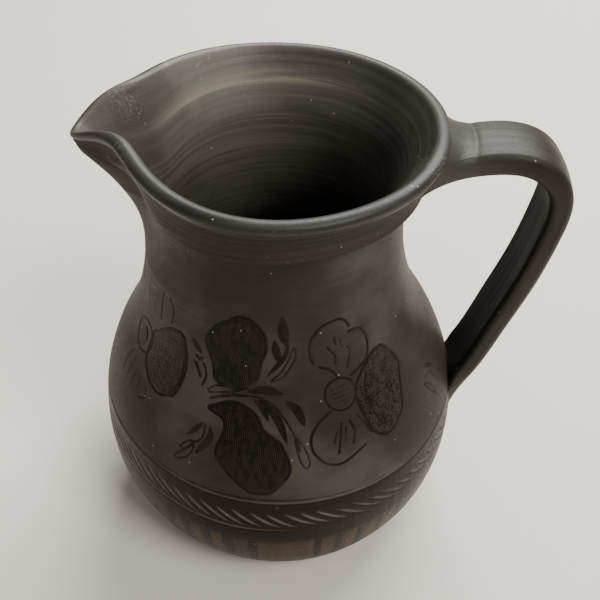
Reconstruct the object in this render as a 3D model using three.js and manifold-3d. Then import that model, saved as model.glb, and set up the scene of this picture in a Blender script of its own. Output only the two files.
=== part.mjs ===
// A black clay pitcher, built up by hand from a pat of clay, rings of coil and a pulled strap handle.
// Frame: millimetres, +Z up. The origin is the centre of the foot's underside, the handle is on the
// +X side and the pouring spout points along -X.
// Each member that the potter lutes on is a mesh of its own, a small gap away from its neighbours.

import * as THREE from "three";
import { mergeVertices } from "three/addons/utils/BufferGeometryUtils.js";
import Module from "manifold-3d";

const wasm = await Module();
wasm.setup();

// ---- driving dimensions ----

const HEIGHT = 200; // foot to the crest of the rim
const WALL = 5.5; // thickness of the thrown wall
const GAP = 0.3; // clearance between members that touch
const FOOT_RADIUS = 56;
const BELLY_RADIUS = 83; // the widest part of the body
const BELLY_Z = 51;
const NECK_RADIUS = 51.3; // the narrowest part of the neck
const NECK_Z = 163;

const BAND_LOW_Z = 57.3; // seam under the belly ring, at its lower incised line
const BAND_HIGH_Z = 73.8; // seam over the belly ring, at its upper incised line
const NECK_LOW_Z = 130; // seam between shoulder and neck
const COLLAR_LOW_Z = 179.5; // underside of the collar

const COLLAR_FOOT_RADIUS = 58; // outer edge of the collar's overhanging lower side
const RIM_RADIUS = 61.5; // crest of the lip
const LIP_RADIUS = 2.8; // half the thickness of the rounded lip

const SPOUT_HALF_ANGLE = 52; // degrees each side of -X taken up by the spout
const SPOUT_REACH = 21; // how far the lip is drawn out at the tip, from the pinched line
const SPOUT_WIDTH = 16; // degrees, spread of the drawn-out tip
const PINCH_DEPTH = 11.5; // how far the rim is pressed in around the spout
const PINCH_WIDTH = 50; // degrees
const SPOUT_SHOULDER = 7; // lift of the lip on each side of the tip
const SPOUT_GROOVE = 9; // degrees, spread of the groove between the two shoulders
const SPOUT_ROOT_SPREAD = 14; // degrees that the drawn-out bulge gains in width down to its root
const SPOUT_ROOT_Z = 148; // where the drawn-out bulge dies out in the neck

const HANDLE_TURN = -6.5; // degrees the handle stands off +X, as it was set by hand
const STRAP_WIDTH = 27;
const STRAP_THICKNESS = 10;
const STRAP_ROUNDNESS = 0.6; // power that presses the round section into a flattened oval
const UPPER_JOIN_SHARE = 0.16; // share of the strap line inside the upper clay join
const LOWER_JOIN_SHARE = 0.12; // and in its lower one
// Where the strap spreads onto the pot: the shares of its line, and the growth of width and thickness.
const UPPER_FLARE = { full: 0.05, end: 0.18, width: 1.2, thickness: 1 };
const LOWER_FLARE = { full: 1, end: 0.84, width: 0.45, thickness: 0.9 };

const TURN_SEGMENTS = 56; // facets round the body
const STRAP_SEGMENTS = 16; // facets round the strap
const LIP_STEPS = 6;
const ENVELOPE_STEPS = 24; // rows of the filled pot that the handle joins are cut to

const FINISHES = {
  body: { color: 0x2b2a29, roughness: 0.5 },
  rim: { color: 0x353433, roughness: 0.38 },
  handle: { color: 0x302e2d, roughness: 0.45 },
};

// ---- helpers ----

const degrees = THREE.MathUtils.degToRad;

// A closed mesh as a solid that can be cut and joined.
function solidOf(geometry) {
  const bare = geometry.clone();
  bare.deleteAttribute("normal");
  bare.deleteAttribute("uv");
  const merged = mergeVertices(bare, 1e-4);
  return new wasm.Manifold(
    new wasm.Mesh({
      numProp: 3,
      vertProperties: merged.attributes.position.array,
      triVerts: new Uint32Array(merged.index.array),
    }),
  );
}

function geometryOf(solid) {
  const mesh = solid.getMesh();
  const geometry = new THREE.BufferGeometry();
  geometry.setAttribute("position", new THREE.BufferAttribute(mesh.vertProperties, 3));
  geometry.setIndex(new THREE.BufferAttribute(mesh.triVerts, 1));
  geometry.computeVertexNormals();
  return geometry;
}

// A profile of (radius, height) points turned about the pot's axis.
function turned(profile) {
  return new THREE.LatheGeometry(profile, TURN_SEGMENTS).rotateX(Math.PI / 2);
}

function ringFrom(profile) {
  return turned([...profile, profile[0].clone()]);
}

function moveVertices(geometry, moved) {
  const position = geometry.attributes.position;
  const point = new THREE.Vector3();
  for (let i = 0; i < position.count; i += 1) {
    moved(point.fromBufferAttribute(position, i));
    position.setXYZ(i, point.x, point.y, point.z);
  }
  geometry.computeVertexNormals();
  return geometry;
}

function named(name, finish, geometry) {
  const material = new THREE.MeshStandardMaterial({ ...FINISHES[finish], metalness: 0 });
  const mesh = new THREE.Mesh(geometry, material);
  mesh.name = name;
  return mesh;
}

// ---- the wall of the body ----

// Outer outline from the foot to the underside of the collar, as (radius, height).
const outline = new THREE.SplineCurve([
  new THREE.Vector2(FOOT_RADIUS, 0),
  new THREE.Vector2(FOOT_RADIUS + 9, 5.2),
  new THREE.Vector2(BELLY_RADIUS - 9, 14.5),
  new THREE.Vector2(BELLY_RADIUS - 2.6, 30.5),
  new THREE.Vector2(BELLY_RADIUS, BELLY_Z),
  new THREE.Vector2(BELLY_RADIUS - 3, 75),
  new THREE.Vector2(BELLY_RADIUS - 10.5, 96),
  new THREE.Vector2(NECK_RADIUS + 9.2, 118),
  new THREE.Vector2(NECK_RADIUS + 2.2, 141),
  new THREE.Vector2(NECK_RADIUS, NECK_Z),
  new THREE.Vector2(NECK_RADIUS + 1.8, COLLAR_LOW_Z),
]);

// The outline's parameter at a height. The outline only ever climbs, so halving finds it.
function outlineAt(z) {
  let low = 0;
  let high = 1;
  for (let i = 0; i < 30; i += 1) {
    const middle = (low + high) / 2;
    if (outline.getPoint(middle).y < z) low = middle;
    else high = middle;
  }
  return (low + high) / 2;
}

// The point at a depth under the outer surface.
function underOutline(t, depth) {
  const tangent = outline.getTangent(t);
  const point = outline.getPoint(t);
  return new THREE.Vector2(point.x - tangent.y * depth, point.y + tangent.x * depth);
}

// Closed section of the wall between two heights, cut square to the wall at both ends.
function wallSection(lowZ, highZ, steps) {
  const from = outlineAt(lowZ);
  const to = outlineAt(highZ);
  const outer = [];
  const inner = [];
  for (let i = 0; i <= steps; i += 1) {
    const t = from + ((to - from) * i) / steps;
    outer.push(underOutline(t, 0));
    inner.unshift(underOutline(t, WALL));
  }
  return [...outer, ...inner];
}

// ---- the drawn-out mouth ----

// Angle of a point from the spout's middle line, in degrees.
function fromSpout(point) {
  return THREE.MathUtils.radToDeg(Math.abs(Math.atan2(point.y, -point.x)));
}

function bell(angle, spread) {
  return Math.exp(-((angle / spread) ** 2));
}

// Draws the spout out and pinches the rim beside it, fading to nothing down in the neck.
function drawSpout(point) {
  const strength = THREE.MathUtils.clamp((point.z - SPOUT_ROOT_Z) / (HEIGHT - SPOUT_ROOT_Z), 0, 1);
  const angle = fromSpout(point);
  const radius = Math.hypot(point.x, point.y);
  const reach = SPOUT_REACH * bell(angle, SPOUT_WIDTH + SPOUT_ROOT_SPREAD * (1 - strength));
  const pinch = PINCH_DEPTH * bell(angle, PINCH_WIDTH);
  const lift = SPOUT_SHOULDER * (bell(angle, PINCH_WIDTH) - bell(angle, SPOUT_GROOVE));
  const grown = (radius + (reach - pinch) * strength) / radius;
  point.x *= grown;
  point.y *= grown;
  point.z += lift * strength ** 2;
}

// Closed section of the collar: overhanging lower edge, flared outside, round lip, inner funnel.
function collarSection() {
  const seam = outlineAt(COLLAR_LOW_Z);
  const throat = underOutline(seam, WALL);
  const outside = [
    new THREE.Vector2(underOutline(seam, 0).x, COLLAR_LOW_Z + GAP),
    new THREE.Vector2(COLLAR_FOOT_RADIUS - 0.9, COLLAR_LOW_Z + GAP),
    new THREE.Vector2(COLLAR_FOOT_RADIUS, COLLAR_LOW_Z + 1.4),
    new THREE.Vector2(COLLAR_FOOT_RADIUS + 1.2, COLLAR_LOW_Z + 6.5),
    new THREE.Vector2(COLLAR_FOOT_RADIUS + 3.4, COLLAR_LOW_Z + 12),
  ];
  const lip = [];
  for (let i = 0; i <= LIP_STEPS; i += 1) {
    const turn = degrees(-20 + (i * 200) / LIP_STEPS);
    lip.push(
      new THREE.Vector2(
        RIM_RADIUS + LIP_RADIUS * Math.cos(turn),
        HEIGHT - LIP_RADIUS + LIP_RADIUS * Math.sin(turn),
      ),
    );
  }
  const inside = [
    new THREE.Vector2(throat.x + 6.2, throat.y + 11),
    new THREE.Vector2(throat.x + 2, throat.y + 4.5),
    new THREE.Vector2(throat.x, throat.y + GAP),
  ];
  return [...outside, ...lip, ...inside];
}

function mouthRing() {
  return moveVertices(ringFrom(collarSection()), drawSpout);
}

// A prism over the sector that the spout takes up, with its point moved out along -X.
function spoutWedge(shift) {
  const half = degrees(SPOUT_HALF_ANGLE);
  const length = 3 * RIM_RADIUS;
  const shape = new THREE.Shape([
    new THREE.Vector2(0, 0),
    new THREE.Vector2(-length * Math.cos(half), length * Math.sin(half)),
    new THREE.Vector2(-length, 0),
    new THREE.Vector2(-length * Math.cos(half), -length * Math.sin(half)),
  ]);
  const prism = new THREE.ExtrudeGeometry(shape, { depth: HEIGHT, bevelEnabled: false });
  return solidOf(prism.translate(-shift, 0, HEIGHT / 2));
}

// ---- the handle ----

// Middle line of the strap in its own upright plane, as (distance from the axis, height).
const strapLine = new THREE.CatmullRomCurve3(
  [
    [46, 186],
    [57, 187],
    [70, 189.4],
    [84, 191.4],
    [97, 188.8],
    [106, 178.5],
    [106.3, 160],
    [101.5, 135.5],
    [93.7, 109],
    [85, 82],
    [74, 61],
  ].map(([out, up]) => new THREE.Vector3(out, 0, up)),
  false,
  "centripetal",
);

// How much wider and thicker the clay is where the strap runs into the pot.
function flare(share) {
  const grown = { width: 1, thickness: 1 };
  for (const join of [UPPER_FLARE, LOWER_FLARE]) {
    const spread = THREE.MathUtils.clamp((share - join.end) / (join.full - join.end), 0, 1) ** 2;
    grown.width += join.width * spread;
    grown.thickness += join.thickness * spread;
  }
  return grown;
}

// A length of the handle between two shares of the strap line, as a flattened bar with round edges.
function barAlong(from, to, steps) {
  const bar = new THREE.CylinderGeometry(1, 1, 1, STRAP_SEGMENTS, steps);
  return moveVertices(bar, (point) => {
    const share = from + (to - from) * (0.5 - point.y);
    const middle = strapLine.getPointAt(share);
    const along = strapLine.getTangentAt(share);
    const swell = flare(share);
    const across = (swell.width * STRAP_WIDTH * rounded(point.x)) / 2;
    const outward = (swell.thickness * STRAP_THICKNESS * rounded(point.z)) / 2;
    point.set(middle.x - along.z * outward, across, middle.z + along.x * outward);
  }).rotateZ(degrees(HANDLE_TURN));
}

// Presses a circle's coordinate outwards, so that the bar's section is a flattened oval.
function rounded(value) {
  return Math.sign(value) * Math.abs(value) ** STRAP_ROUNDNESS;
}

// The whole outside of the pot as one filled solid, grown by the gap.
function filledPot() {
  const body = [];
  for (let i = 0; i <= ENVELOPE_STEPS; i += 1) {
    body.push(underOutline((i / ENVELOPE_STEPS) * outlineAt(COLLAR_LOW_Z - 1), -GAP));
  }
  const collar = collarSection().slice(1, 9);
  const profile = [
    new THREE.Vector2(0, body[0].y),
    ...body,
    ...collar.map((point) => new THREE.Vector2(point.x + GAP, point.y - GAP)),
    new THREE.Vector2(RIM_RADIUS, HEIGHT + GAP),
    new THREE.Vector2(0, HEIGHT + GAP),
  ];
  return solidOf(turned(profile));
}

// ---- assembly ----

const discEdge = underOutline(0, WALL); // inner corner of the wall at the foot
const mouth = solidOf(mouthRing());
const pot = filledPot();
const handleGap = GAP / strapLine.getLength();

const baseDisc = turned([
  new THREE.Vector2(0, 0),
  new THREE.Vector2(FOOT_RADIUS - 2 * GAP, 0),
  new THREE.Vector2(discEdge.x - 2 * GAP, discEdge.y),
  new THREE.Vector2(0, discEdge.y),
]);
const neckRing = moveVertices(
  ringFrom(wallSection(NECK_LOW_Z + GAP, COLLAR_LOW_Z, 7)),
  drawSpout,
);
const spout = mouth.intersect(spoutWedge((2 * GAP) / Math.sin(degrees(SPOUT_HALF_ANGLE))));
const collar = mouth.subtract(spoutWedge(0));
const upperJoin = solidOf(barAlong(0, UPPER_JOIN_SHARE, 10)).subtract(pot);
const strap = barAlong(UPPER_JOIN_SHARE + handleGap, 1 - LOWER_JOIN_SHARE - handleGap, 28);
const lowerJoin = solidOf(barAlong(1 - LOWER_JOIN_SHARE, 1, 8)).subtract(pot);

const pitcher = new THREE.Group();
pitcher.name = "black_clay_pitcher";
pitcher.add(
  named("base_disc", "body", baseDisc),
  named("lower_bowl", "body", ringFrom(wallSection(0, BAND_LOW_Z - GAP, 9))),
  named("belly_ring", "body", ringFrom(wallSection(BAND_LOW_Z, BAND_HIGH_Z - GAP, 2))),
  named("shoulder", "body", ringFrom(wallSection(BAND_HIGH_Z, NECK_LOW_Z, 7))),
  named("neck", "body", neckRing),
  named("rim_collar", "rim", geometryOf(collar)),
  named("pouring_spout", "rim", geometryOf(spout)),
  named("upper_handle_join", "handle", geometryOf(upperJoin)),
  named("handle_strap", "handle", strap),
  named("lower_handle_join", "handle", geometryOf(lowerJoin)),
);

export default pitcher;
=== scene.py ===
"""A burnished black clay pitcher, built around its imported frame.

The wall is one grid: columns round the axis, and rows that climb the outside, turn over the lip
and go down the inside. Each member of the wall is a closed piece of that grid, so its neighbours
meet it without a seam. The base and the handle have grids of their own, and the handle's joins
start on the wall's. Shapes are worked out in millimetres and degrees, and pieces are in metres.
An angle round the pot starts at the front, -Y, and grows towards the handle, +X.
"""

import bpy
import numpy as np
from mathutils import Matrix, Vector


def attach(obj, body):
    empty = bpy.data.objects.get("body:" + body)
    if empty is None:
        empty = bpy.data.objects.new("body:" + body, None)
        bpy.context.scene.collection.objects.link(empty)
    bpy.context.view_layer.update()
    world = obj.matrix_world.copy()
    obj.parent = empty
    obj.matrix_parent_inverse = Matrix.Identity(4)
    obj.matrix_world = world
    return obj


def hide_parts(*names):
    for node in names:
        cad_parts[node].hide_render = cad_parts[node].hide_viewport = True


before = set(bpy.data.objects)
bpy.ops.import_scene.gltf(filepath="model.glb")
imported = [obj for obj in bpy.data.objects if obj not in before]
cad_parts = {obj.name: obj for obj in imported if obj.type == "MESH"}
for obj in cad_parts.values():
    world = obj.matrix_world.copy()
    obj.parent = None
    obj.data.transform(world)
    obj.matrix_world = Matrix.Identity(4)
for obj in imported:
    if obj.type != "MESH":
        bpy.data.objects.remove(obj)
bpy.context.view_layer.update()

MM = 0.001

# ---- driving dimensions ----

WALL = 5.5  # thickness of the wall
COLUMNS = 720
PER_DEGREE = COLUMNS / 360
FINE_STEP = 0.62  # row spacing where the wall is decorated
PLAIN_STEP = 1.2
INSIDE_STEP = 2.4

SPOUT_SIDE = -90  # where the spout points
HANDLE_SIDE = 90
SPOUT_HALF_ANGLE = 52  # half of the arc that the spout takes of the collar
TIP_TURN = 1.6  # the tip was pulled this much towards the front
SPOUT_ROOT = 150  # height where the spout's underside leaves the neck
SPOUT_CLIMB = 44  # the bulge is at its full size this far above its root
SPOUT_BULGE = 15.2
SPOUT_SPREAD = 12.5  # degrees over which the bulge dies out on the neck
RIM_SPREAD = 16.5  # and at the rim
WIDENING = (177, 194)  # heights between which one spread turns into the other
PINCH = 10.5  # how far the rim is pressed in beside the spout
PINCH_SPREAD = 52
PINCH_CLIMB = 52

RIM_HEIGHT = 200
RIM_RADIUS = 61.7
RIM_REACH = 19.8  # how far the tip stands out past the pressed-in rim
LIP_HALF_WIDTH = 3.0
LIP_HALF_HEIGHT = 2.5
LIP_UNDERCUT = -50  # angle where the rolled lip starts, below its outer side
LIP_OVER = 140  # and where it runs on into the funnel
LIP_ROWS = 18
LIP_THINNING = 0.4  # share of its thickness that the lip loses at the spout
SHOULDER_SPREAD = 54  # the rim rises on both sides of the spout's groove
NEAR_SHOULDER = {"lift": 12.6, "groove": 15}  # on its front side
FAR_SHOULDER = {"lift": 7.7, "groove": 10}

SEAM_DROP = 2.0  # the collar piece starts this far under its ledge
LEDGE_CLIMB = 20  # how far the collar's lower edge sweeps up at the spout
LEDGE_SPREAD = 34
LEDGE_CAP = 2.6  # and how far it stays under the lip at the tip
LEDGE_FILLET = 0.8  # radius where the wall turns out under the ledge
LEDGE_EDGE = 1.2  # radius of the ledge's outer edge
OVERHANG = 4.9  # how far the ledge stands out of the wall
TIP_OVERHANG = 0.3  # and at the spout's tip
THINNEST = 2.2  # the wall stays at least this thick under the spout's lip
THROAT_DROP = 2.5  # the funnel ends this far under the ledge
SEAM_ROWS = 11
FACE_ROWS = 18
FUNNEL_ROWS = 30

BAND_TOP = 78.3  # distance up the wall to the incised line over the belly ring
BAND_LOW = 61.3  # and to the one under it
BAND_TILT = 3.3  # the incised lines sink towards the handle
SECOND_LINE = 1.6  # a finer line runs this far over the upper one
STROKE_COUNT = 72
STROKE_LENGTH = 12.6
STROKE_TOP = 71.6  # distance up the wall where the slanted strokes start
STROKE_FALL = 8.2  # and how far they fall
BAR_COUNT = 53  # dark strokes down the lower bowl, counted all round
BAR_START = 3.2  # angle of the first one
BAR_TOP = 51  # distance up the wall where they start
BARE_FRONT = 8  # no bar stands this close to the front
OUTSIDE = -3.0  # signed distance that means "no mark near here"

GROOVE_DEPTH = 0.3  # of a dark incised line
PALE_DEPTH = 0.35  # of a pale line or stroke
PETAL_SWELL = 0.08  # a hatched petal stands this much out of the wall


# ---- curves and fields ----

def bell(angle, spread):
    return np.exp(-((angle / spread) ** 2))


def wrapped(angle):
    return (angle + 180) % 360 - 180


def eased(value, low, high):
    share = np.clip((value - low) / (high - low), 0, 1)
    return share * share * (3 - 2 * share)


def run_of(line):
    """Distance along a polyline to each of its points."""
    return np.concatenate([[0], np.cumsum(np.linalg.norm(np.diff(line, axis=0), axis=1))])


def at_run(distance, run, line):
    """Places at distances along a polyline."""
    return np.stack([np.interp(distance, run, line[:, k]) for k in (0, 1)], axis=-1)


def unit(vectors):
    return vectors / np.linalg.norm(vectors, axis=-1, keepdims=True)


def spline(points, step):
    """Points about step apart on the natural cubic spline through points, ends kept."""
    points = np.array(points, float)
    knots = run_of(points)
    count = len(knots)
    gaps = np.diff(knots)
    slopes = np.diff(points, axis=0) / gaps[:, None]
    system = np.eye(count)
    bends = np.zeros_like(points)
    for i in range(1, count - 1):
        system[i, i - 1 : i + 2] = gaps[i - 1], 2 * (gaps[i - 1] + gaps[i]), gaps[i]
        bends[i] = 6 * (slopes[i] - slopes[i - 1])
    bends = np.linalg.solve(system, bends)
    at = np.linspace(0, knots[-1], int(knots[-1] / step) + 2)
    i = np.clip(np.searchsorted(knots, at, side="right") - 1, 0, count - 2)
    gap = gaps[i][:, None]
    after = (at - knots[i])[:, None]
    left = gap - after
    return (
        (bends[i] * left**3 + bends[i + 1] * after**3) / (6 * gap)
        + (points[i] / gap - bends[i] * gap / 6) * left
        + (points[i + 1] / gap - bends[i + 1] * gap / 6) * after
    )


def drawn(points, closed):
    """A hand-drawn line: the Catmull-Rom curve through points, as a polyline."""
    p = np.array(points, float)
    if closed:
        p = np.vstack([p[-1], p, p[:2]])
    else:
        p = np.vstack([2 * p[0] - p[1], p, 2 * p[-1] - p[-2]])
    t = np.linspace(0, 1, 6, endpoint=False)[:, None]
    parts = [
        (2 * b + (c - a) * t + (2 * a - 5 * b + 4 * c - d) * t**2 + (3 * b - a - 3 * c + d) * t**3) / 2
        for a, b, c, d in zip(p, p[1:], p[2:], p[3:])
    ]
    return np.vstack(parts if closed else parts + [p[-2]])


def nearest_on(x, y, line, closed):
    """Distance of each point to a polyline, and the share of its length where it is nearest."""
    starts = line if closed else line[:-1]
    ends = np.roll(line, -1, axis=0) if closed else line[1:]
    lengths = np.linalg.norm(ends - starts, axis=1)
    passed = np.cumsum(lengths) - lengths
    distance = np.full(x.shape, 1e9)
    share = np.zeros(x.shape)
    for a, b, length, before in zip(starts, ends, lengths, passed):
        along = b - a
        t = np.clip(((x - a[0]) * along[0] + (y - a[1]) * along[1]) / length**2, 0, 1)
        d = np.hypot(x - a[0] - t * along[0], y - a[1] - t * along[1])
        closer = d < distance
        distance = np.where(closer, d, distance)
        share = np.where(closer, (before + t * length) / lengths.sum(), share)
    return distance, share


def inside_of(x, y, loop):
    odd = np.zeros(x.shape, bool)
    for a, b in zip(loop, np.roll(loop, -1, axis=0)):
        if a[1] != b[1]:
            crosses = (a[1] > y) != (b[1] > y)
            odd ^= crosses & (x < a[0] + (y - a[1]) * (b[0] - a[0]) / (b[1] - a[1]))
    return odd


# ---- the wall's outline, from the frame ----

def outline_of(node):
    """(radius, height) points of a wall node's outer surface on its +X side, going up."""
    places = [v.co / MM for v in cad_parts[node].data.vertices]
    side = sorted({(round(p.z, 3), round(p.x, 3)) for p in places if p.x > 0 and abs(p.y) < 0.01})
    points = np.array([(r, z) for z, r in side])
    apart = np.linalg.norm(points[:, None] - points[None], axis=2)
    further_out = points[None, :, 0] > points[:, None, 0]
    is_inner = ((abs(apart - WALL) < 0.03) & further_out).any(axis=1)
    return points[~is_inner]


WALL_NODES = ["lower_bowl", "belly_ring", "shoulder", "neck"]
outlines = [outline_of(node) for node in WALL_NODES]
seams = [points[0][1] for points in outlines] + [outlines[-1][-1][1]]
LEDGE = seams[-1]  # height of the collar's lower edge
spine = outlines[0]
for points in outlines[1:]:
    spine = np.vstack([spine[spine[:, 1] < points[0][1] - 1], points])
spine = spline(spine, 0.25)
climb = run_of(spine)
TOP_SLOPE = (spine[-1, 0] - spine[-40, 0]) / (spine[-1, 1] - spine[-40, 1])


def up_at(height):
    """Distance up the wall, from the foot's edge, of a height."""
    return np.interp(height, spine[:, 1], climb)


def spine_normal(distance):
    """Outward normal of the outline, as (radial, upward)."""
    along = unit(at_run(distance + 1, climb, spine) - at_run(distance - 1, climb, spine))
    return np.stack([along[:, 1], -along[:, 0]], axis=-1)


# ---- the mouth ----

angle = np.arange(COLUMNS) * 360 / COLUMNS
turn = np.radians(angle)
off_spout = wrapped(angle - SPOUT_SIDE)
off_tip = off_spout - TIP_TURN


def spout_bulge(height):
    """How far the drawn-out spout moves each column of the wall at each height."""
    height = np.asarray(height, float)
    strength = np.clip((height - SPOUT_ROOT) / SPOUT_CLIMB, 0, 1) ** 2
    fade = np.clip((height - SPOUT_ROOT + 2) / PINCH_CLIMB, 0, 1)
    reach = SPOUT_BULGE * strength + PINCH * fade
    spread = SPOUT_SPREAD + (RIM_SPREAD - SPOUT_SPREAD) * eased(height, *WIDENING)
    return reach * bell(off_tip, spread) - PINCH * fade * bell(off_spout, PINCH_SPREAD)


def wall_radius(height):
    """Outer radius of each column; above the ledge the wall runs on with the neck's last slope."""
    above = np.clip(height - LEDGE, 0, None) * TOP_SLOPE
    return np.interp(height, spine[:, 1], spine[:, 0]) + above + spout_bulge(height)


def shoulder_lift(side):
    return side["lift"] * (bell(off_spout, SHOULDER_SPREAD) - bell(off_spout, side["groove"]))


crest_radius = RIM_RADIUS - PINCH * bell(off_spout, PINCH_SPREAD) + RIM_REACH * bell(off_tip, RIM_SPREAD)
crest_lift = np.where(off_spout > 0, shoulder_lift(NEAR_SHOULDER), shoulder_lift(FAR_SHOULDER))
thinning = 1 - LIP_THINNING * bell(off_spout, 20)
lip_wide = LIP_HALF_WIDTH * thinning
lip_high = LIP_HALF_HEIGHT * thinning
lip_radius = crest_radius - 1.2 * bell(off_spout, 14)
lip_height = RIM_HEIGHT + crest_lift - lip_high
ledge_height = LEDGE + LEDGE_CLIMB * bell(off_spout, LEDGE_SPREAD) - LEDGE_CAP * bell(off_spout, 9)
overhang = TIP_OVERHANG + (OVERHANG - TIP_OVERHANG) * (1 - bell(off_spout, 30))


def ledge_rows():
    """(radius, height) of each row from the seam under the ledge, round the ledge, to its edge."""
    rows = []
    fillet = LEDGE_FILLET * overhang / OVERHANG
    edge = LEDGE_EDGE * overhang / OVERHANG
    start = LEDGE - SEAM_DROP
    for t in np.linspace(0, 1, SEAM_ROWS):
        height = start + (ledge_height - fillet - start) * t
        rows.append((wall_radius(height), height))
    top = wall_radius(ledge_height)
    for bend in np.radians([22.5, 45, 67.5, 90]):
        rows.append((top + fillet * (1 - np.cos(bend)), ledge_height - fillet * (1 - np.sin(bend))))
    for t in (0.35, 0.7):
        rows.append((top + fillet + (overhang - fillet - edge) * t, ledge_height + 0 * top))
    for bend in np.radians(np.linspace(-90, -10, 6)):
        radius = top + overhang - edge + edge * np.cos(bend)
        rows.append((radius, ledge_height + edge + edge * np.sin(bend)))
    return rows


def face_rows(foot_radius, foot_height):
    """Rows up the collar's face, with fine turned lines, to where the lip starts."""
    rows = []
    under = np.radians(LIP_UNDERCUT)
    roll_radius = lip_radius + lip_wide * np.cos(under)
    roll_height = lip_height + lip_high * np.sin(under)
    for t in np.linspace(0, 1, FACE_ROWS + 2)[1:-1]:
        lines = 0.05 * np.sin(9 * np.pi * t) + 0.04 * np.sin(23 * np.pi * t)
        radius = foot_radius + (roll_radius - foot_radius) * t**1.5 + lines
        rows.append((radius, foot_height + (roll_height - foot_height) * t))
    return rows


def lip_rows():
    bends = np.radians(np.linspace(LIP_UNDERCUT, LIP_OVER, LIP_ROWS))
    return [(lip_radius + lip_wide * np.cos(b), lip_height + lip_high * np.sin(b)) for b in bends]


def funnel_rows(lip_inner, lip_low):
    """Rows down the inside, with wheel rings that die out in the spout, to the throat."""
    rows = []
    throat = LEDGE - THROAT_DROP
    throat_radius = wall_radius(throat) - WALL
    for t in np.linspace(0, 1, FUNNEL_ROWS + 1)[1:]:
        height = lip_low + (throat - lip_low) * t
        rings = 0.04 * np.sin(2 * np.pi * height / 2.7) + 0.14 * np.sin(height / 1.9) * eased(t, 0.35, 0.7)
        rings = rings * eased(t, 0, 0.3) * (1 - 0.8 * bell(off_spout, 60))
        radius = throat_radius + (lip_inner - throat_radius) * (1 - t) ** 1.4
        limit = wall_radius(height) + overhang - THINNEST + 8 * (1 - bell(off_spout, 50))
        rows.append((np.minimum(radius + rings, limit), height))
    return rows


def mouth_rows():
    rows = ledge_rows()
    rows += face_rows(*rows[-1])
    rows += lip_rows()
    return rows + funnel_rows(*rows[-1])


# ---- the whole grid ----

def uneven(distance):
    """The slight unevenness of a wall that was made by hand."""
    return (
        0.22 * np.sin(2 * turn + 0.7 + distance / 60)
        + 0.16 * np.sin(3 * turn + 2.1 - distance / 45)
        + 0.10 * np.sin(7 * turn + distance / 23)
    )


def build_grid():
    """Radius and height of every row, distance up the wall of each outer row, and the rows' groups."""
    ends = [up_at(z) for z in seams[:-1]] + [up_at(LEDGE - SEAM_DROP)]
    steps = [PLAIN_STEP, FINE_STEP, FINE_STEP, FINE_STEP]
    outer = []
    groups = {}
    for node, low, high, step in zip(WALL_NODES, ends, ends[1:], steps):
        count = int(round((high - low) / step))
        groups[node] = [len(outer), len(outer) + count]
        outer += list(np.linspace(low, high, count + 1)[:-1])
    outer.append(ends[-1])
    rows = []
    for distance in outer:
        radius, height = at_run(distance, climb, spine)
        rows.append((radius + spout_bulge(height) + uneven(distance), height + 0 * angle))
    first = len(rows) - 1
    rows += [(radius + uneven(ends[-1]), height) for radius, height in mouth_rows()[1:]]
    groups["mouth"] = [first, len(rows) - 1]
    inner = []
    for node, low, high in reversed(list(zip(WALL_NODES, ends, ends[1:]))):
        count = int(round((high - low) / INSIDE_STEP))
        start = len(rows) - 1 + len(inner)
        groups[node] += [start, start + count]
        inner += list(np.linspace(high, low, count + 1)[1:])
    for distance, normal in zip(inner, spine_normal(np.array(inner))):
        radius, height = at_run(distance, climb, spine) - WALL * normal
        rings = 0.15 * np.sin(distance / 0.9 + 0.5 * np.sin(turn))
        rows.append((radius + spout_bulge(height) + uneven(distance) + rings, height + 0 * angle))
    return rows, np.array(outer), groups


rows, outer_climb, groups = build_grid()
radius = np.array([r for r, z in rows])
height = np.array([z for r, z in rows])
grid = np.stack([radius * np.sin(turn), -radius * np.cos(turn), height], axis=2)
mouth_row = groups["mouth"][0]
EDGE_ROW = mouth_row + SEAM_ROWS + 7  # on the ledge's outer edge
FACE_ROW = EDGE_ROW + 8  # low on the collar's face
LIP_ROW = EDGE_ROW + 4 + FACE_ROWS  # the face's last row, under the lip


def normals_of(grid):
    """Unit normals of a grid whose columns close on themselves and run to the left of its outer side."""
    across = np.roll(grid, -1, axis=1) - np.roll(grid, 1, axis=1)
    normals = np.cross(across, np.gradient(grid, axis=0))
    return normals / np.maximum(np.linalg.norm(normals, axis=2, keepdims=True), 1e-9)


# ---- the decoration, as signed distances that are positive inside a mark ----

# Each mark is (kind, points, width). Points are (across, up): millimetres from the motif's middle
# line, and millimetres up the wall. A "petal" is hatched and dark, a "stippled" one is pricked,
# a "loop" is only outlined, a "leaf" is a dark brush-shaped stroke and a "line" is incised.

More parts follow.
